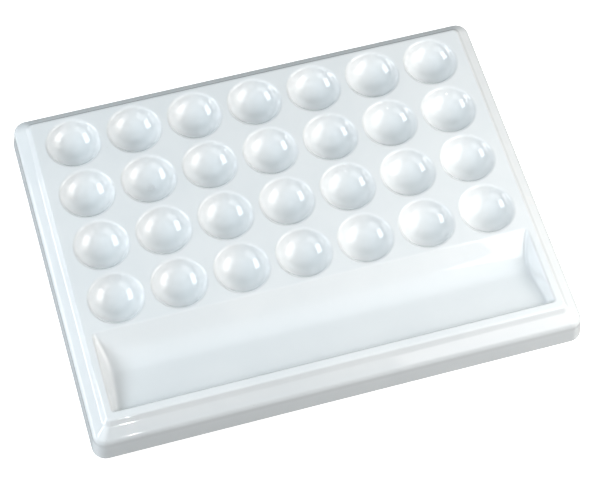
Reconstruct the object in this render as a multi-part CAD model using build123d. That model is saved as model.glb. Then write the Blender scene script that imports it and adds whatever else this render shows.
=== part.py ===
from build123d import *
import os

# A glazed porcelain mixing palette: one fired body with rows of round wells, a slanted
# trough along the front and a stepped border, standing on four stick-on silicone feet.
#
# Frame: origin on the tabletop under the middle of the palette, +Z up, +X along the long
# side to the right, +Y away from the painter. Everything is in millimetres. A "drop" is a
# distance down from the field, the flat face that the wells are sunk in.

# Driving dimensions
LENGTH = 281.0
WIDTH = 215.0
BODY_HEIGHT = 25.0

# Border: flank, groove, sloping band, shoulder, waist and flared side wall, from the field
# outwards. The corners open from the field's tight one to the base's wider one.
BORDER_WIDTH = 10.8
FIELD_CORNER = 2.5
BASE_CORNER = 8.0
FIELD_EDGE_ROUND = 1.9
GROOVE_OUT = 2.4
GROOVE_DROP = 3.1
GROOVE_ROUND = 6.0
SHOULDER_OUT = 9.1
SHOULDER_DROP = 8.8
SHOULDER_ROUND = 5.0
WAIST_OUT = 9.3
WAIST_DROP = 13.5
BASE_ROUND = 1.5

# Round wells, in a grid of columns and rows
WELL_COLUMNS = 7
WELL_ROWS = 4
WELL_PITCH_X = 35.9
WELL_PITCH_Y = 34.7
FRONT_ROW_Y = -25.8
WELL_RADIUS = 15.4
WELL_DEPTH = 9.8
WELL_LIP_ROUND = 2.2

# Trough: a long slope at the back, then a floor that rises towards the front
TROUGH_HALF_LENGTH = 125.5
TROUGH_BACK_Y = -43.7
TROUGH_DEEP_Y = -60.0
TROUGH_TOE_Y = -89.8
TROUGH_FRONT_Y = -92.3
TROUGH_DEPTH = 11.0
TROUGH_TOE_DEPTH = 5.8
TROUGH_END_RUN = 5.5
TROUGH_FLOOR_ROUND = 20.0
TROUGH_INNER_ROUND = 4.0
TROUGH_LIP_ROUND = 1.6

# Hollow underside: flat ceiling, sloping skirt and the inside of the side wall. Its mouth
# has wide corner rounds, which leave room on the rim for a foot in each corner.
SHELL_WALL = 4.5
CEILING_DROP = 7.0
CEILING_IN = 2.0
CEILING_CORNER = 20.0
SKIRT_DROP = 13.5
SKIRT_OUT = 4.2
MOUTH_OUT = 4.4
MOUTH_CORNER = 26.0

# Silicone feet
FOOT_RADIUS = 5.0
FOOT_HEIGHT = 1.5
FOOT_EDGE_ROUND = 0.7
FOOT_INSET = 8.9

# Worked out from the driving dimensions
BASE_Z = FOOT_HEIGHT
FIELD_Z = BASE_Z + BODY_HEIGHT
FIELD_HALF_X = LENGTH / 2 - BORDER_WIDTH
FIELD_HALF_Y = WIDTH / 2 - BORDER_WIDTH
WELL_SPHERE = (WELL_RADIUS**2 + WELL_DEPTH**2) / (2 * WELL_DEPTH)
CLEAR = 3.0


def outline(out, drop, corner):
    """Rounded rectangle lying a distance out from the field's edge, at a drop."""
    size_x = 2 * (FIELD_HALF_X + out)
    size_y = 2 * (FIELD_HALF_Y + out)
    return Pos(0, 0, FIELD_Z - drop) * RectangleRounded(size_x, size_y, corner)


def edges_at(solid, drop):
    """The solid's edges that lie level at a drop."""
    height = FIELD_Z - drop
    return solid.edges().filter_by_position(Axis.Z, height - 0.01, height + 0.01)


def border_outline(out, drop):
    """The border's outline at a distance out; its corner opens in step with the distance."""
    corner = FIELD_CORNER + (BASE_CORNER - FIELD_CORNER) * out / BORDER_WIDTH
    return outline(out, drop, corner)


def outer_form():
    """The palette as a solid block: side wall, sloping band, flank and flat field."""
    steps = [
        border_outline(BORDER_WIDTH, BODY_HEIGHT),
        border_outline(WAIST_OUT, WAIST_DROP),
        border_outline(SHOULDER_OUT, SHOULDER_DROP),
        border_outline(GROOVE_OUT, GROOVE_DROP),
        border_outline(0, 0),
    ]
    block = loft(steps, ruled=True)
    block = fillet(edges_at(block, BODY_HEIGHT), BASE_ROUND)
    block = fillet(edges_at(block, SHOULDER_DROP), SHOULDER_ROUND)
    block = fillet(edges_at(block, GROOVE_DROP), GROOVE_ROUND)
    return fillet(edges_at(block, 0), FIELD_EDGE_ROUND)


def well_spheres(grow=0):
    """One sphere per well; growing them by the wall gives the wells' undersides."""
    middle_row_y = FRONT_ROW_Y + WELL_PITCH_Y * (WELL_ROWS - 1) / 2
    centre_z = FIELD_Z - WELL_DEPTH + WELL_SPHERE
    grid = GridLocations(WELL_PITCH_X, WELL_PITCH_Y, WELL_COLUMNS, WELL_ROWS)
    ball = Sphere(WELL_SPHERE + grow)
    return [Pos(0, middle_row_y, centre_z) * place * ball for place in grid]


def trough_block(grow=0):
    """The trough as a solid: its front-to-back section crossed with its end-to-end section."""
    top = FIELD_Z + CLEAR
    floor_z = FIELD_Z - TROUGH_DEPTH
    floor_half = TROUGH_HALF_LENGTH - TROUGH_END_RUN
    front_to_back = [
        (TROUGH_BACK_Y, top),
        (TROUGH_BACK_Y, FIELD_Z),
        (TROUGH_DEEP_Y, floor_z),
        (TROUGH_TOE_Y, FIELD_Z - TROUGH_TOE_DEPTH),
        (TROUGH_FRONT_Y, FIELD_Z),
        (TROUGH_FRONT_Y, top),
    ]
    end_to_end = [
        (-TROUGH_HALF_LENGTH, top),
        (-TROUGH_HALF_LENGTH, FIELD_Z),
        (-floor_half, floor_z),
        (floor_half, floor_z),
        (TROUGH_HALF_LENGTH, FIELD_Z),
        (TROUGH_HALF_LENGTH, top),
    ]
    sections = [
        Plane.YZ * make_face(Polyline(*front_to_back, close=True)),
        Plane.XZ * make_face(Polyline(*end_to_end, close=True)),
    ]
    if grow:
        sections = [offset(face, grow, kind=Kind.INTERSECTION) for face in sections]
    along_x, along_y = [extrude(face, amount=LENGTH / 2, both=True) for face in sections]
    return along_x & along_y


def trough_hollow():
    """The trough's hollow, with a soft floor line and rounded inner corners."""

    def sunk_edges(hollow):
        return hollow.edges().filter_by(lambda edge: edge.center().Z < FIELD_Z - 0.5)

    hollow = trough_block()
    floor_line = sunk_edges(hollow).filter_by(Axis.X).sort_by(Axis.Z)[0]
    hollow = fillet(floor_line, TROUGH_FLOOR_ROUND)
    # Of the edges that run end to end, only the toe (the front one) is still sharp: the
    # others are where the soft floor line runs out into the slope and the floor.
    end_to_end_edges = sunk_edges(hollow).filter_by(Axis.X).sort_by(Axis.Y)
    return fillet(sunk_edges(hollow) - end_to_end_edges[1:], TROUGH_INNER_ROUND)


def underside_hollow():
    """The space under the palette, between the wells' and the trough's undersides."""
    mouth = outline(MOUTH_OUT, BODY_HEIGHT + CLEAR, MOUTH_CORNER)
    skirt = outline(SKIRT_OUT, SKIRT_DROP, MOUTH_CORNER)
    ceiling = outline(-CEILING_IN, CEILING_DROP, CEILING_CORNER)
    hollow = loft([mouth, skirt, ceiling], ruled=True)
    return hollow - well_spheres(SHELL_WALL) - trough_block(SHELL_WALL)


def foot_places():
    """Where each foot sticks to the underside, by name."""
    x = LENGTH / 2 - FOOT_INSET
    y = WIDTH / 2 - FOOT_INSET
    return {
        "foot_front_left": Pos(-x, -y, BASE_Z),
        "foot_front_right": Pos(x, -y, BASE_Z),
        "foot_back_left": Pos(-x, y, BASE_Z),
        "foot_back_right": Pos(x, y, BASE_Z),
    }


def palette_body():
    """The fired body: wells and trough sunk in the field, hollow underneath."""
    body = outer_form() - trough_hollow()
    trough_lip = edges_at(body, 0).filter_by(lambda edge: is_trough_lip(edge.center()))
    body = fillet(trough_lip, TROUGH_LIP_ROUND)
    body -= well_spheres()
    body = fillet(edges_at(body, 0).filter_by(GeomType.CIRCLE), WELL_LIP_ROUND)
    return body - underside_hollow()


def is_trough_lip(point):
    """Whether a point on the field's plane lies on the trough's lip."""
    inside_x = abs(point.X) <= TROUGH_HALF_LENGTH + 0.1
    inside_y = TROUGH_FRONT_Y - 0.1 <= point.Y <= TROUGH_BACK_Y + 0.1
    return inside_x and inside_y


def foot():
    """A flat silicone disc with a rounded lower edge."""
    disc = Cylinder(FOOT_RADIUS, FOOT_HEIGHT, align=(Align.CENTER, Align.CENTER, Align.MAX))
    return fillet(disc.edges().sort_by(Axis.Z)[0], FOOT_EDGE_ROUND)


def main():
    os.makedirs("parts", exist_ok=True)
    nodes = {"palette_body": palette_body()}
    for name, place in foot_places().items():
        nodes[name] = place * foot()
    for name, solid in nodes.items():
        export_step(solid, f"parts/{name}.step")


main()
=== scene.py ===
import math
import bmesh
import bpy
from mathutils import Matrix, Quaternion, Vector


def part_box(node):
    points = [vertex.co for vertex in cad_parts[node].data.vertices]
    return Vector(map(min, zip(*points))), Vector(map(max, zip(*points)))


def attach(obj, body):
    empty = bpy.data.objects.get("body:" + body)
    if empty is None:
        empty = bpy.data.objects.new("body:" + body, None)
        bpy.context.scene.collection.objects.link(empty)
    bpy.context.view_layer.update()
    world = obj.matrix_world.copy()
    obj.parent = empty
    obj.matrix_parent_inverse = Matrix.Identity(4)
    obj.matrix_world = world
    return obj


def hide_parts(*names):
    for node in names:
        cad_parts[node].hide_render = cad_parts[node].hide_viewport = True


# A glazed porcelain mixing palette: a flat field with rows of round wells, a slanted trough
# along the front and a stepped border, hollow underneath, on four silicone feet.
#
# The mesh code works in millimetres about the middle of the palette, +X to the right and
# +Y away from the painter. A "drop" is a distance down from the field, and an "out" is a
# distance outwards from the field's edge.

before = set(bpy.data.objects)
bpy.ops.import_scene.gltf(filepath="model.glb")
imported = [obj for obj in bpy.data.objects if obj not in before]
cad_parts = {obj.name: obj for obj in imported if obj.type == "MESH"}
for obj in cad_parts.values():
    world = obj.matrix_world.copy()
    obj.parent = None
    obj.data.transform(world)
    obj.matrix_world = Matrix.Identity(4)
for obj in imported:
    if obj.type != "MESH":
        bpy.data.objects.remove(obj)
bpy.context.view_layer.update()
body_low, body_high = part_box("palette_body")

MM = 0.001
BASE_TUCK = 0.21  # the rounded base edge lies this far inside the base's sharp outline
LENGTH = (body_high.x - body_low.x) / MM + 2 * BASE_TUCK
WIDTH = (body_high.y - body_low.y) / MM + 2 * BASE_TUCK
FIELD_Z = body_high.z / MM
BODY_HEIGHT = (body_high.z - body_low.z) / MM

# Border, from the field outwards: (out, drop, radius of the rounding there)
BORDER_WIDTH = 10.8
FIELD_CORNER = 2.5
BASE_CORNER = 8.0
BORDER_STEPS = [
    (0.0, 0.0, 1.9),
    (2.4, 3.1, 6.0),
    (9.1, 8.8, 5.0),
    (9.3, 13.5, 12.0),
    (BORDER_WIDTH, BODY_HEIGHT, 1.5),
]

# Round wells
WELL_COLUMNS = 7
WELL_ROWS = 4
WELL_PITCH_X = 35.9
WELL_PITCH_Y = 34.7
FRONT_ROW_Y = -25.8
WELL_RADIUS = 15.4
WELL_DEPTH = 9.8
WELL_LIP_ROUND = 2.2
WELL_LIP_FLAT = 0.3  # a flat ring just outside the lip

# Trough
TROUGH_HALF_LENGTH = 125.5
TROUGH_BACK_Y = -43.7
TROUGH_DEEP_Y = -60.0
TROUGH_TOE_Y = -89.8
TROUGH_FRONT_Y = -92.3
TROUGH_DEPTH = 11.0
TROUGH_TOE_DEPTH = 5.8
TROUGH_END_RUN = 5.5

# How softly the trough's planes run into each other. Its lip softens from the back to the
# front, over a distance measured from the deepest line.
FLOOR_BLEND = 6.5
TOE_BLEND = 2.4
ENDS_BLEND = 2.8
SHELL_FLOOR_BLEND = 4.0
BACK_LIP_BLEND = 0.35
FRONT_LIP_GAIN = 0.5
FRONT_LIP_REACH = 20

# Hollow underside
SHELL_WALL = 4.5
CEILING_DROP = 7.0
SKIRT_DROP = 13.5
SKIRT_OUT = 4.2
SKIRT_SLOPE = 1.05
MOUTH_OUT = 4.4
MOUTH_CORNER = 26.0
UNDERSIDE_BLEND = 2.0

# Inside of the wall, from the rim up: (out from the mouth, height above the rim)
MOUTH_STEPS = [(0.6, 0.0), (0.2, 0.15), (0.0, 0.6), (0.0, 4.0), (-0.1, 8.0)]

# Worked out from the sizes above
FIELD_HALF_X = LENGTH / 2 - BORDER_WIDTH
FIELD_HALF_Y = WIDTH / 2 - BORDER_WIDTH
WELL_SPHERE = (WELL_RADIUS**2 + WELL_DEPTH**2) / (2 * WELL_DEPTH)
WELLS_HALF_X = WELL_PITCH_X * WELL_COLUMNS / 2
WELLS_FRONT = FRONT_ROW_Y - WELL_PITCH_Y / 2
WELLS_BACK = WELLS_FRONT + WELL_PITCH_Y * WELL_ROWS

# The lattice of lines that the field and the underside are cut up by. It covers the field's
# flat part, up to a little inside the field's edge, and has a square at each corner that is
# carried over to the rounded corner of an outline.
EDGE_FLAT = 1.0
CORNER_GROWTH = (BASE_CORNER - FIELD_CORNER) / BORDER_WIDTH
LATTICE_HALF_X = FIELD_HALF_X - EDGE_FLAT
LATTICE_HALF_Y = FIELD_HALF_Y - EDGE_FLAT
LATTICE_CORNER = FIELD_CORNER - EDGE_FLAT * CORNER_GROWTH
CORNER_LINES = 10
CELL_LINES = 16
ENDS_BAND = 9.0
ENDS_SPACING = 0.75

# Lines through the trough, front to back: (where a band ends, spacing of its lines)
TROUGH_BANDS = [
    (TROUGH_TOE_Y + 3.8, 0.6),
    (TROUGH_DEEP_Y - 8.0, 1.8),
    (TROUGH_DEEP_Y + 6.0, 1.2),
    (TROUGH_BACK_Y - 2.3, 1.3),
    (WELLS_FRONT, 0.5),
]

# Steps along the rounded stretches
LIP_STEPS = 6
BOWL_STEPS = 11
BORDER_ARC_STEPS = 7

# Closer than this, lines count as one line, crowded lines are dropped and vertices are welded
LINE_GAP = 0.01
CROWDED_GAP = 0.02
WELD_GAP = 0.004

# The body's material slots
GLAZE = 0
BISCUIT = 1


# ---------------------------------------------------------------- heights

def smooth_min(a, b, blend):
    """The smaller of two heights, with the crease between them rounded."""
    overlap = max(blend - abs(a - b), 0.0)
    return min(a, b) - overlap * overlap / (4 * blend)


def smooth_max(a, b, blend):
    """The larger of two heights, with the crease between them rounded."""
    return -smooth_min(-a, -b, blend)


def trough_planes(x, y, grow):
    """Drops of the trough's four walls and floor, pushed outwards by a wall thickness."""
    slope = TROUGH_DEPTH / (TROUGH_BACK_Y - TROUGH_DEEP_Y)
    fall = (TROUGH_DEPTH - TROUGH_TOE_DEPTH) / (TROUGH_DEEP_Y - TROUGH_TOE_Y)
    rise = TROUGH_TOE_DEPTH / (TROUGH_TOE_Y - TROUGH_FRONT_Y)
    steep = TROUGH_DEPTH / TROUGH_END_RUN
    back = (TROUGH_BACK_Y - y) * slope + grow * math.hypot(1, slope)
    floor = TROUGH_DEPTH + (y - TROUGH_DEEP_Y) * fall + grow * math.hypot(1, fall)
    front = (y - TROUGH_FRONT_Y) * rise + grow * math.hypot(1, rise)
    ends = (TROUGH_HALF_LENGTH - abs(x)) * steep + grow * math.hypot(1, steep)
    return back, floor, front, ends


def trough_drop(x, y):
    """Drop of the trough's glazed surface; zero on the field around it."""
    back, floor, front, ends = trough_planes(x, y, 0)
    bottom = smooth_min(back, floor, FLOOR_BLEND)
    bottom = smooth_min(bottom, front, TOE_BLEND)
    bottom = smooth_min(bottom, ends, ENDS_BLEND)
    towards_front = min(max((TROUGH_DEEP_Y - y) / FRONT_LIP_REACH, 0), 1)
    return smooth_max(bottom, 0, BACK_LIP_BLEND + FRONT_LIP_GAIN * towards_front)


def trough_underside_drop(x, y):
    """Drop of the trough's outer shell, seen from below."""
    back, floor, front, ends = trough_planes(x, y, SHELL_WALL)
    bottom = smooth_min(back, floor, SHELL_FLOOR_BLEND)
    bottom = smooth_min(bottom, front, TOE_BLEND)
    return smooth_min(bottom, ends, ENDS_BLEND)


def well_centre(column, row):
    """Middle of a well, with columns counted from the left and rows from the front."""
    x = (column - (WELL_COLUMNS - 1) / 2) * WELL_PITCH_X
    y = FRONT_ROW_Y + row * WELL_PITCH_Y
    return x, y


def nearest(value, first, pitch, count):
    """The grid position nearest to a value."""
    index = min(max(round((value - first) / pitch), 0), count - 1)
    return first + index * pitch


def well_underside_drop(x, y):
    """Drop of the nearest well's outer shell, seen from below."""
    first_x, first_y = well_centre(0, 0)
    centre_x = nearest(x, first_x, WELL_PITCH_X, WELL_COLUMNS)
    centre_y = nearest(y, first_y, WELL_PITCH_Y, WELL_ROWS)
    radius = WELL_SPHERE + SHELL_WALL
    across = math.hypot(x - centre_x, y - centre_y)
    if across >= radius:
        return 0.0
    return math.sqrt(radius**2 - across**2) - (WELL_SPHERE - WELL_DEPTH)


def out_of_skirt(x, y):
    """Signed distance outwards from the skirt's rounded outline."""
    straight_x = FIELD_HALF_X + SKIRT_OUT - MOUTH_CORNER
    straight_y = FIELD_HALF_Y + SKIRT_OUT - MOUTH_CORNER
    beyond_x = abs(x) - straight_x
    beyond_y = abs(y) - straight_y
    outside = math.hypot(max(beyond_x, 0), max(beyond_y, 0))
    return outside + min(max(beyond_x, beyond_y), 0) - MOUTH_CORNER


def underside_drop(x, y):
    """Drop of the underside: ceiling and skirt, with the wells' and trough's shells below."""
    well = well_underside_drop(x, y)
    trough = trough_underside_drop(x, y)
    shells = smooth_max(well, trough, UNDERSIDE_BLEND)
    skirt = SKIRT_DROP + out_of_skirt(x, y) * SKIRT_SLOPE
    ceiling = min(SKIRT_DROP, smooth_max(CEILING_DROP, skirt, UNDERSIDE_BLEND))
    return smooth_max(shells, ceiling, UNDERSIDE_BLEND)


# ---------------------------------------------------------------- lattice lines

def spaced(start, end, step):
    """Evenly spaced values from start up to, but not including, end."""
    count = max(round((end - start) / step), 1)
    return [start + (end - start) * i / count for i in range(count)]


def cell_lines(centre, pitch):
    """Lines across one well's cell, spaced so that they fan out evenly from its centre."""
    lines = []
    for i in range(CELL_LINES):
        turn = math.pi / 4 * (2 * i / CELL_LINES - 1)
        lines.append(centre + pitch / 2 * math.tan(turn))
    return lines


def without_crowding(lines, gap):
    """Sorted lines, leaving out any that is too close to the one before it."""
    kept = []
    for line in sorted(lines):
        if not kept or line - kept[-1] > gap:
            kept.append(line)
    return kept


def corner_lines(start, end):
    """Fine lines through a corner square, where the field's outline turns."""
    return spaced(start, end, (end - start) / CORNER_LINES)


def lattice_x():
    """The lattice's lines across the palette's length."""
    right = [0.0]
    for column in range(WELL_COLUMNS // 2 + 1):
        lines = cell_lines(column * WELL_PITCH_X, WELL_PITCH_X)
        right += [x for x in lines if x > LINE_GAP]
    right = [x for x in right if x < WELLS_HALF_X - ENDS_BAND]
    right += spaced(WELLS_HALF_X - ENDS_BAND, WELLS_HALF_X, ENDS_SPACING)
    right.append(WELLS_HALF_X)
    right += corner_lines(LATTICE_HALF_X - LATTICE_CORNER, LATTICE_HALF_X)
    right.append(LATTICE_HALF_X)
    right = sorted(right)
    return [-x for x in reversed(right[1:])] + right


def lattice_y():
    """The lattice's lines across the palette's width, front to back."""
    band_start = -LATTICE_HALF_Y + LATTICE_CORNER
    lines = corner_lines(-LATTICE_HALF_Y, band_start)
    for band_end, spacing in TROUGH_BANDS:
        lines += spaced(band_start, band_end, spacing)
        band_start = band_end
    for row in range(WELL_ROWS):
        lines += cell_lines(FRONT_ROW_Y + row * WELL_PITCH_Y, WELL_PITCH_Y)
    lines = [y for y in lines if y < LATTICE_HALF_Y - LATTICE_CORNER]
    lines += corner_lines(LATTICE_HALF_Y - LATTICE_CORNER, LATTICE_HALF_Y)
    lines += [WELLS_BACK, LATTICE_HALF_Y]
    return without_crowding(lines, CROWDED_GAP)


def placed(x, y, half_x, half_y, corner):
    """A lattice point carried over to a rounded rectangle, corner square onto corner arc."""
    straight_x = LATTICE_HALF_X - LATTICE_CORNER
    straight_y = LATTICE_HALF_Y - LATTICE_CORNER
    turn_x = max(abs(x) - straight_x, 0) / LATTICE_CORNER
    turn_y = max(abs(y) - straight_y, 0) / LATTICE_CORNER
    new_x = min(abs(x) / straight_x, 1) * (half_x - corner)
    new_y = min(abs(y) / straight_y, 1) * (half_y - corner)
    new_x += corner * turn_x * math.sqrt(1 - turn_y**2 / 2)
    new_y += corner * turn_y * math.sqrt(1 - turn_x**2 / 2)
    return math.copysign(new_x, x), math.copysign(new_y, y)


# ---------------------------------------------------------------- mesh patches

def add_face(mesh, corners, material=GLAZE):
    """One smooth face from its corner vertices."""
    face = mesh.faces.new(corners)
    face.smooth = True
    face.material_index = material


def add_vertex(mesh, x, y, drop):
    """One vertex at a place on the palette, a drop below the field."""
    return mesh.verts.new((x * MM, y * MM, (FIELD_Z - drop) * MM))


def add_grid(mesh, lines_x, lines_y, point, wanted):
    """A sheet of quads over the lattice, leaving out the quads that aren't wanted."""
    rows = [[add_vertex(mesh, *point(x, y)) for x in lines_x] for y in lines_y]
    for j in range(len(lines_y) - 1):
        for i in range(len(lines_x) - 1):
            middle_x = (lines_x[i] + lines_x[i + 1]) / 2
            middle_y = (lines_y[j] + lines_y[j + 1]) / 2
            if wanted(middle_x, middle_y):
                corners = [rows[j][i], rows[j][i + 1], rows[j + 1][i + 1], rows[j + 1][i]]
                add_face(mesh, corners)


def add_rings(mesh, rings, material=GLAZE):
    """Bands of quads between neighbouring closed rings of vertices."""
    for upper, lower in zip(rings, rings[1:]):
        for i in range(len(upper)):
            following = (i + 1) % len(upper)
            corners = [upper[i], upper[following], lower[following], lower[i]]
            add_face(mesh, corners, material)


def perimeter(lines_x, lines_y):
    """The points around the edge of a block of lattice lines, anticlockwise from above."""
    points = [(x, lines_y[0]) for x in lines_x[:-1]]
    points += [(lines_x[-1], y) for y in lines_y[:-1]]
    points += [(x, lines_y[-1]) for x in reversed(lines_x[1:])]
    points += [(lines_x[0], y) for y in reversed(lines_y[1:])]
    return points


def well_profile():
    """A well's section from its lip down to near its lowest point: (radius, drop) pairs."""
    centre_up = WELL_SPHERE - WELL_DEPTH
    lip_up = centre_up + WELL_LIP_ROUND
    lip_reach = math.sqrt((WELL_SPHERE + WELL_LIP_ROUND) ** 2 - lip_up**2)
    lip_turn = math.atan2(lip_reach, lip_up)
    profile = [(lip_reach + WELL_LIP_FLAT, 0.0)]
    for i in range(LIP_STEPS + 1):
        turn = lip_turn * i / LIP_STEPS
        radius = lip_reach - WELL_LIP_ROUND * math.sin(turn)
        drop = WELL_LIP_ROUND * (1 - math.cos(turn))
        profile.append((radius, drop))
    for i in range(1, BOWL_STEPS):
        turn = lip_turn * (1 - i / BOWL_STEPS)
        radius = WELL_SPHERE * math.sin(turn)
        drop = WELL_SPHERE * math.cos(turn) - centre_up
        profile.append((radius, drop))
    return profile


def add_well(mesh, lines_x, lines_y, centre_x, centre_y):
    """One well: rings of quads from its cell's edge, over the lip and down the bowl."""
    edge = perimeter(lines_x, lines_y)
    rings = [[add_vertex(mesh, x, y, 0) for x, y in edge]]
    turns = [math.atan2(y - centre_y, x - centre_x) for x, y in edge]
    for radius, drop in well_profile():
        ring = []
        for turn in turns:
            x = centre_x + radius * math.cos(turn)
            y = centre_y + radius * math.sin(turn)
            ring.append(add_vertex(mesh, x, y, drop))
        rings.append(ring)
    add_rings(mesh, rings)
    bottom = add_vertex(mesh, centre_x, centre_y, WELL_DEPTH)
    last = rings[-1]
    for i in range(len(last)):
        following = (i + 1) % len(last)
        add_face(mesh, [last[i], last[following], bottom])


def rounded_corner(before, corner, after, radius, steps):
    """Points along the arc that rounds one corner of a section."""
    before, corner, after = Vector(before), Vector(corner), Vector(after)
    incoming = (before - corner).normalized()
    outgoing = (after - corner).normalized()
    half_angle = incoming.angle(outgoing) / 2
    tangent = radius / math.tan(half_angle)
    middle = (incoming + outgoing).normalized()
    centre = corner + middle * (radius / math.sin(half_angle))
    start = corner + incoming * tangent - centre
    end = corner + outgoing * tangent - centre
    points = []
    for i in range(steps + 1):
        spoke = start.lerp(end, i / steps).normalized() * radius
        points.append(tuple(centre + spoke))
    return points


def border_profile():
    """The border's section from the field's flat part down to the rim: (out, drop) pairs."""
    points = [(-EDGE_FLAT, 0.0)]
    points += [(out, drop) for out, drop, _ in BORDER_STEPS]
    points.append((MOUTH_OUT, BODY_HEIGHT))
    profile = [points[0]]
    for i, (_, _, radius) in enumerate(BORDER_STEPS):
        before, corner, after = points[i : i + 3]
        profile += rounded_corner(before, corner, after, radius, BORDER_ARC_STEPS)
    return profile


def outline_ring(mesh, edge, out, drop, corner):
    """A closed ring of vertices on a rounded outline, one for each point of the edge."""
    half_x = FIELD_HALF_X + out
    half_y = FIELD_HALF_Y + out
    ring = []
    for x, y in edge:
        new_x, new_y = placed(x, y, half_x, half_y, corner)
        ring.append(add_vertex(mesh, new_x, new_y, drop))
    return ring


def field_point(x, y):
    """Where a lattice point lies on the field or in the trough, with its drop."""
    new_x, new_y = placed(x, y, LATTICE_HALF_X, LATTICE_HALF_Y, LATTICE_CORNER)
    return new_x, new_y, trough_drop(new_x, new_y)


def underside_point(x, y):
    """Where a lattice point lies on the underside, inside the skirt's lower edge."""
    half_x = FIELD_HALF_X + SKIRT_OUT
    half_y = FIELD_HALF_Y + SKIRT_OUT
    new_x, new_y = placed(x, y, half_x, half_y, MOUTH_CORNER)
    return new_x, new_y, underside_drop(new_x, new_y)


def outside_wells(x, y):
    """Whether a place lies outside the block of well cells."""
    return abs(x) > WELLS_HALF_X or y < WELLS_FRONT or y > WELLS_BACK


def add_wells(mesh, lines_x, lines_y):
    """Every well in the grid of columns and rows."""
    reach_x = WELL_PITCH_X / 2 + LINE_GAP
    reach_y = WELL_PITCH_Y / 2 + LINE_GAP
    for column in range(WELL_COLUMNS):
        for row in range(WELL_ROWS):
            centre_x, centre_y = well_centre(column, row)
            cell_x = [x for x in lines_x if abs(x - centre_x) < reach_x]
            cell_y = [y for y in lines_y if abs(y - centre_y) < reach_y]
            add_well(mesh, cell_x, cell_y, centre_x, centre_y)


def add_border(mesh, edge):
    """The border, side wall, standing rim and the inside of the wall."""
    outer = []
    for out, drop in border_profile():
        corner = FIELD_CORNER + out * CORNER_GROWTH
        outer.append(outline_ring(mesh, edge, out, drop, corner))
    inner = []
    for out, rise in MOUTH_STEPS:
        drop = BODY_HEIGHT - rise
        inner.append(outline_ring(mesh, edge, MOUTH_OUT + out, drop, MOUTH_CORNER + out))
    inner.append(outline_ring(mesh, edge, SKIRT_OUT, SKIRT_DROP, MOUTH_CORNER))
    add_rings(mesh, outer, GLAZE)
    add_rings(mesh, [outer[-1], inner[0]], BISCUIT)
    add_rings(mesh, inner, GLAZE)


def palette_mesh():
    """The whole fired body as one closed mesh."""
    mesh = bmesh.new()
    lines_x = lattice_x()
    lines_y = lattice_y()
    edge = perimeter(lines_x, lines_y)
    add_grid(mesh, lines_x, lines_y, field_point, outside_wells)
    add_wells(mesh, lines_x, lines_y)
    add_border(mesh, edge)
    add_grid(mesh, lines_x, lines_y, underside_point, lambda x, y: True)
    bmesh.ops.remove_doubles(mesh, verts=mesh.verts, dist=WELD_GAP * MM)
    unused = [vertex for vertex in mesh.verts if not vertex.link_faces]
    bmesh.ops.delete(mesh, geom=unused, context="VERTS")
    bmesh.ops.recalc_face_normals(mesh, faces=mesh.faces)
    return mesh


# ---------------------------------------------------------------- materials

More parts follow.
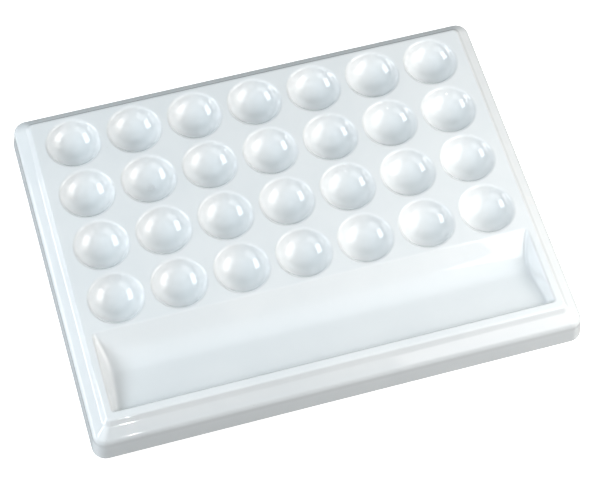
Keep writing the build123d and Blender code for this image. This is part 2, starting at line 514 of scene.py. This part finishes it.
class Nodes:
    """A new node material, with short ways to add and join its nodes."""

    def __init__(self, name):
        self.material = bpy.data.materials.new(name)
        self.material.use_nodes = True
        self.tree = self.material.node_tree
        self.shader = self.tree.nodes["Principled BSDF"]

    def add(self, kind, **settings):
        """A new node of a kind, with its settings."""
        node = self.tree.nodes.new(kind)
        for key, value in settings.items():
            setattr(node, key, value)
        return node

    def join(self, output, socket):
        """Links a node's output to another node's input."""
        self.tree.links.new(output, socket)

    def feed(self, socket, value):
        """Joins a node's output to a socket, or sets the socket to a plain value."""
        if isinstance(value, bpy.types.NodeSocket):
            self.join(value, socket)
        else:
            socket.default_value = value

    def math(self, operation, a, b):
        """One step of arithmetic on two values."""
        node = self.add("ShaderNodeMath", operation=operation)
        self.feed(node.inputs[0], a)
        self.feed(node.inputs[1], b)
        return node.outputs[0]

    def ramp(self, value, low, high, to_low=0.0, to_high=1.0):
        """Carries a value smoothly from one range onto another."""
        node = self.add("ShaderNodeMapRange", interpolation_type="SMOOTHSTEP")
        for socket, number in zip(node.inputs, (value, low, high, to_low, to_high)):
            self.feed(socket, number)
        return node.outputs[0]

    def blend(self, amount, a, b):
        """A colour between two colours, which are inputs 6, 7 and output 2 of the node."""
        node = self.add("ShaderNodeMix", data_type="RGBA")
        self.feed(node.inputs[0], amount)
        self.feed(node.inputs[6], a)
        self.feed(node.inputs[7], b)
        return node.outputs[2]

    def tint(self, mask, strength, colour, tinted):
        """A colour carried towards another one by a mask, up to a strength."""
        return self.blend(self.math("MULTIPLY", mask, strength), colour, tinted)

    def place_mm(self):
        """Where the shaded point is on the object, in millimetres."""
        coordinates = self.add("ShaderNodeTexCoord")
        scaled = self.add("ShaderNodeVectorMath", operation="SCALE")
        self.join(coordinates.outputs["Object"], scaled.inputs[0])
        scaled.inputs["Scale"].default_value = 1 / MM
        return scaled.outputs[0]

    def noise(self, place, size_mm, detail=2.0, roughness=0.5):
        """A cloudy noise whose lumps are about size_mm across."""
        node = self.add("ShaderNodeTexNoise")
        self.join(place, node.inputs["Vector"])
        node.inputs["Scale"].default_value = 1 / size_mm
        node.inputs["Detail"].default_value = detail
        node.inputs["Roughness"].default_value = roughness
        return node.outputs[0]

    def specks(self, place, spacing_mm, speck_mm, share):
        """Small round specks: a share of the cells of a Voronoi pattern carry one each."""
        node = self.add("ShaderNodeTexVoronoi")
        self.join(place, node.inputs["Vector"])
        node.inputs["Scale"].default_value = 1 / spacing_mm
        reach = speck_mm / 2 / spacing_mm
        dot = self.ramp(node.outputs["Distance"], reach * 0.6, reach, 1.0, 0.0)
        chosen = self.math("LESS_THAN", node.outputs["Color"], share)
        return self.math("MULTIPLY", dot, chosen)

    def bump(self, height, depth_mm, onto=None):
        """Relief whose full height is depth_mm, laid over another relief if one is given."""
        node = self.add("ShaderNodeBump")
        node.inputs["Distance"].default_value = depth_mm * MM
        self.join(height, node.inputs["Height"])
        if onto:
            self.join(onto, node.inputs["Normal"])
        return node.outputs[0]

    def finish(self, **inputs):
        """Sets the shader's inputs by name, with underscores for spaces."""
        for name, value in inputs.items():
            self.feed(self.shader.inputs[name.replace("_", " ")], value)
        return self.material


def smudge(nodes, place):
    """Strength of a patchy smudge, 9 mm across, near the bottom of one well."""
    well_x, well_y = well_centre(1, 2)
    away = nodes.add("ShaderNodeVectorMath", operation="DISTANCE")
    nodes.join(place, away.inputs[0])
    away.inputs[1].default_value = (well_x + 1.0, well_y - 0.6, FIELD_Z - WELL_DEPTH)
    patchy = nodes.ramp(nodes.noise(place, 2.0), 0.35, 0.6)
    fading = nodes.ramp(away.outputs["Value"], 1.0, 4.5, 1.0, 0.0)
    return nodes.math("MULTIPLY", fading, patchy)


def glaze_material():
    """Clear gloss glaze over cool white porcelain, with a cooler painted shade deeper in the
    hollows and a paler painted highlight on convex edges.
    """
    cool_white = (0.80, 0.815, 0.82, 1)
    clean_white = (0.83, 0.84, 0.842, 1)
    # painted shade: a cooler, slightly darker white deep in the wells and trough
    hollow_shade_white = (0.79, 0.815, 0.825, 1)
    # painted highlight: a paler, warmer white on convex edges and lips
    edge_highlight_white = (0.85, 0.845, 0.835, 1)
    pinhole_brown = (0.45, 0.42, 0.38, 1)
    smudge_grey = (0.5, 0.49, 0.48, 1)

    nodes = Nodes("porcelain_glaze")
    place = nodes.place_mm()
    parts = nodes.add("ShaderNodeSeparateXYZ")
    nodes.join(place, parts.inputs[0])
    drop = nodes.math("SUBTRACT", FIELD_Z, parts.outputs["Z"])
    shape = nodes.add("ShaderNodeNewGeometry")
    # painted highlight: paler on convex edges, picked out by pointiness
    painted_edge_highlight = nodes.ramp(shape.outputs["Pointiness"], 0.505, 0.54)
    cloud = nodes.ramp(nodes.noise(place, 28.0, detail=3.0), 0.3, 0.7)
    # painted shade: cooler the deeper a place lies below the field, in the wells and trough
    painted_hollow_shade = nodes.ramp(drop, 3.0, 11.0)
    pinholes = nodes.specks(place, 7.0, 0.5, 0.22)

    colour = nodes.blend(cloud, cool_white, clean_white)
    # painted shade in the hollows, then a painted highlight on convex edges
    colour = nodes.tint(painted_hollow_shade, 0.6, colour, hollow_shade_white)
    colour = nodes.tint(painted_edge_highlight, 0.5, colour, edge_highlight_white)
    colour = nodes.tint(pinholes, 0.35, colour, pinhole_brown)
    colour = nodes.tint(smudge(nodes, place), 0.28, colour, smudge_grey)

    waves = nodes.noise(place, 11.0, detail=1.0)
    peel = nodes.noise(place, 2.2, detail=2.0)
    relief = nodes.bump(waves, 0.03)
    relief = nodes.bump(peel, 0.006, relief)
    relief = nodes.bump(nodes.math("SUBTRACT", 1.0, pinholes), 0.02, relief)
    gloss = nodes.ramp(nodes.noise(place, 17.0), 0.3, 0.7, 0.03, 0.06)
    return nodes.finish(
        Base_Color=colour,
        Roughness=gloss,
        IOR=1.52,
        Normal=relief,
        Coat_Weight=0.4,
        Coat_Roughness=0.03,
        Coat_IOR=1.5,
    )


def biscuit_material():
    """Bare fired porcelain on the standing rim, where the glaze was wiped off."""
    warm_grey = (0.74, 0.71, 0.66, 1)
    warm_white = (0.80, 0.78, 0.74, 1)
    grit_brown = (0.35, 0.31, 0.27, 1)

    nodes = Nodes("bare_biscuit")
    place = nodes.place_mm()
    cloud = nodes.noise(place, 9.0, detail=4.0)
    grit = nodes.specks(place, 3.0, 0.5, 0.3)
    grain = nodes.noise(place, 0.5, detail=6.0, roughness=0.65)
    colour = nodes.blend(cloud, warm_grey, warm_white)
    colour = nodes.tint(grit, 0.5, colour, grit_brown)
    return nodes.finish(
        Base_Color=colour,
        Roughness=nodes.ramp(grain, 0.3, 0.7, 0.7, 0.92),
        Normal=nodes.bump(grain, 0.05),
    )


def silicone_material():
    """Milky satin silicone, with a little lint caught on it."""
    milky_grey = (0.62, 0.64, 0.64, 1)
    milky_white = (0.72, 0.73, 0.73, 1)
    lint_grey = (0.35, 0.34, 0.33, 1)

    nodes = Nodes("silicone")
    place = nodes.place_mm()
    cloud = nodes.noise(place, 3.0, detail=3.0)
    lint = nodes.specks(place, 1.3, 0.25, 0.25)
    grain = nodes.noise(place, 0.4, detail=4.0)
    colour = nodes.blend(cloud, milky_grey, milky_white)
    colour = nodes.tint(lint, 0.6, colour, lint_grey)
    return nodes.finish(
        Base_Color=colour,
        Roughness=nodes.ramp(cloud, 0.3, 0.7, 0.38, 0.55),
        Normal=nodes.bump(grain, 0.02),
        Transmission_Weight=0.25,
        IOR=1.41,
    )


# ---------------------------------------------------------------- pieces

def add_palette_body():
    """The fired body, as its own mesh in place of the CAD solid."""
    data = bpy.data.meshes.new("palette_body_glazed")
    mesh = palette_mesh()
    mesh.to_mesh(data)
    mesh.free()
    data.materials.append(glaze_material())
    data.materials.append(biscuit_material())
    body = bpy.data.objects.new("palette_body_glazed", data)
    bpy.context.scene.collection.objects.link(body)
    shading = body.modifiers.new("flat_faces_flat", "WEIGHTED_NORMAL")
    shading.mode = "FACE_AREA"
    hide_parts("palette_body")
    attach(body, "root")


def dress_feet():
    """Gives the four CAD feet their silicone."""
    silicone = silicone_material()
    for name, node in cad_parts.items():
        if name.startswith("foot_"):
            node.data.materials.clear()
            node.data.materials.append(silicone)


# ---------------------------------------------------------------- studio

# Metres and degrees from here on
FLOOR_HALF = 5
FLOOR_GREY = (0.4, 0.4, 0.4, 1)
FLOOR_GLOW = 1.0

# The room turns from its walls' colour to its ceiling's between these two heights, which are
# the Z of a unit vector into the room
ROOM_TURN = (0.65, 0.90)
ROOM_WALLS = (0.01, 0.02, 0.02)
ROOM_CEILING = (0.66, 0.73, 0.77)

CAMERA_LENS_MM = 120.85
CAMERA_SENSOR_MM = 36.0
CAMERA_AZIMUTH = 198.5575
CAMERA_ELEVATION = 60.5128
CAMERA_ROLL = 2.807
CAMERA_DISTANCE = 1.14306
CAMERA_AIM = Vector((0.0023, -0.0104, FIELD_Z * MM / 2))


def add_floor():
    """A plain grey floor that glows white to the camera, as under a bright studio sweep."""
    side = FLOOR_HALF
    data = bpy.data.meshes.new("floor")
    corners = [(-side, -side, 0), (side, -side, 0), (side, side, 0), (-side, side, 0)]
    data.from_pydata(corners, [], [(0, 1, 2, 3)])
    nodes = Nodes("floor")
    seen = nodes.add("ShaderNodeLightPath").outputs["Is Camera Ray"]
    nodes.finish(
        Base_Color=FLOOR_GREY,
        Roughness=0.9,
        Emission_Color=(1, 1, 1, 1),
        Emission_Strength=nodes.math("MULTIPLY", seen, FLOOR_GLOW),
    )
    data.materials.append(nodes.material)
    floor = bpy.data.objects.new("floor", data)
    bpy.context.scene.collection.objects.link(floor)


def direction(azimuth, elevation):
    """Unit vector towards a compass direction: azimuth 0 is +Y, 90 is +X."""
    turn = math.radians(azimuth)
    lift = math.radians(elevation)
    level = math.cos(lift)
    return Vector((math.sin(turn) * level, math.cos(turn) * level, math.sin(lift)))


def add_softbox(name, azimuth, elevation, distance, width, height, watts, colour):
    """A rectangular softbox that faces the palette."""
    data = bpy.data.lights.new(name, "AREA")
    data.shape = "RECTANGLE"
    data.size = width
    data.size_y = height
    data.energy = watts
    data.color = colour
    lamp = bpy.data.objects.new(name, data)
    lamp.location = direction(azimuth, elevation) * distance
    lamp.rotation_euler = (-lamp.location).to_track_quat("-Z", "Y").to_euler()
    bpy.context.scene.collection.objects.link(lamp)
    return lamp


def add_glint_lamp(name, azimuth, elevation, distance, size, watts):
    """A small lamp that shows only as a glint in the glaze."""
    lamp = add_softbox(name, azimuth, elevation, distance, size, size, watts, (1, 1, 1))
    lamp.visible_diffuse = False


def add_room():
    """A room with dark walls under a soft bright ceiling, plain white to the camera."""
    world = bpy.data.worlds.new("room")
    bpy.context.scene.world = world
    world.use_nodes = True
    tree = world.node_tree
    sky = tree.nodes["Background"]
    sight = tree.nodes.new("ShaderNodeTexCoord")
    parts = tree.nodes.new("ShaderNodeSeparateXYZ")
    ramp = tree.nodes.new("ShaderNodeValToRGB")
    tree.links.new(sight.outputs["Generated"], parts.inputs[0])
    tree.links.new(parts.outputs["Z"], ramp.inputs[0])
    tree.links.new(ramp.outputs[0], sky.inputs["Color"])
    stops = zip(ramp.color_ramp.elements, ROOM_TURN, (ROOM_WALLS, ROOM_CEILING))
    for stop, height, colour in stops:
        stop.position = height
        stop.color = (*colour, 1)
    backdrop = tree.nodes.new("ShaderNodeBackground")
    mix = tree.nodes.new("ShaderNodeMixShader")
    path = tree.nodes.new("ShaderNodeLightPath")
    tree.links.new(path.outputs["Is Camera Ray"], mix.inputs[0])
    tree.links.new(sky.outputs[0], mix.inputs[1])
    tree.links.new(backdrop.outputs[0], mix.inputs[2])
    backdrop.inputs["Color"].default_value = (1, 1, 1, 1)
    tree.links.new(mix.outputs[0], tree.nodes["World Output"].inputs[0])


def add_camera():
    """A long lens looking down on the palette from its front left."""
    data = bpy.data.cameras.new("camera")
    data.lens = CAMERA_LENS_MM
    data.sensor_width = CAMERA_SENSOR_MM
    camera = bpy.data.objects.new("camera", data)
    bpy.context.scene.collection.objects.link(camera)
    bpy.context.scene.camera = camera
    towards = direction(CAMERA_AZIMUTH, CAMERA_ELEVATION)
    roll = Quaternion((0, 0, 1), math.radians(CAMERA_ROLL))
    camera.location = CAMERA_AIM + towards * CAMERA_DISTANCE
    camera.rotation_mode = "QUATERNION"
    camera.rotation_quaternion = (-towards).to_track_quat("-Z", "Y") @ roll


# ---------------------------------------------------------------- the whole scene

add_palette_body()
dress_feet()
add_floor()
add_room()
# Lamps: name, azimuth, elevation, distance, width, height, watts and colour. The glint lamp
# is square and white.
add_softbox("left_window", -88, 33, 0.85, 0.50, 0.26, 3.4, (0.83, 0.93, 1.0))
add_softbox("left_fill", -84, 4, 1.5, 1.4, 0.3, 7.0, (1.0, 0.97, 0.98))
add_softbox("left_front_fill", -130, 30, 1.5, 1.0, 0.6, 3.6, (0.99, 1.0, 0.99))
add_softbox("right_softbox", 117, 38, 0.46, 0.38, 0.24, 0.95, (0.99, 1.0, 0.99))
add_softbox("right_fill", 100, 25, 1.5, 1.4, 0.8, 7.4, (1.0, 0.96, 0.91))
add_softbox("right_front_fill", 145, 30, 1.5, 1.0, 0.6, 2.8, (1.0, 0.92, 0.92))
add_glint_lamp("front_glint", 183.2, 25, 1.2, 0.016, 0.35)
add_camera()
bpy.context.scene.view_settings.view_transform = "Standard"
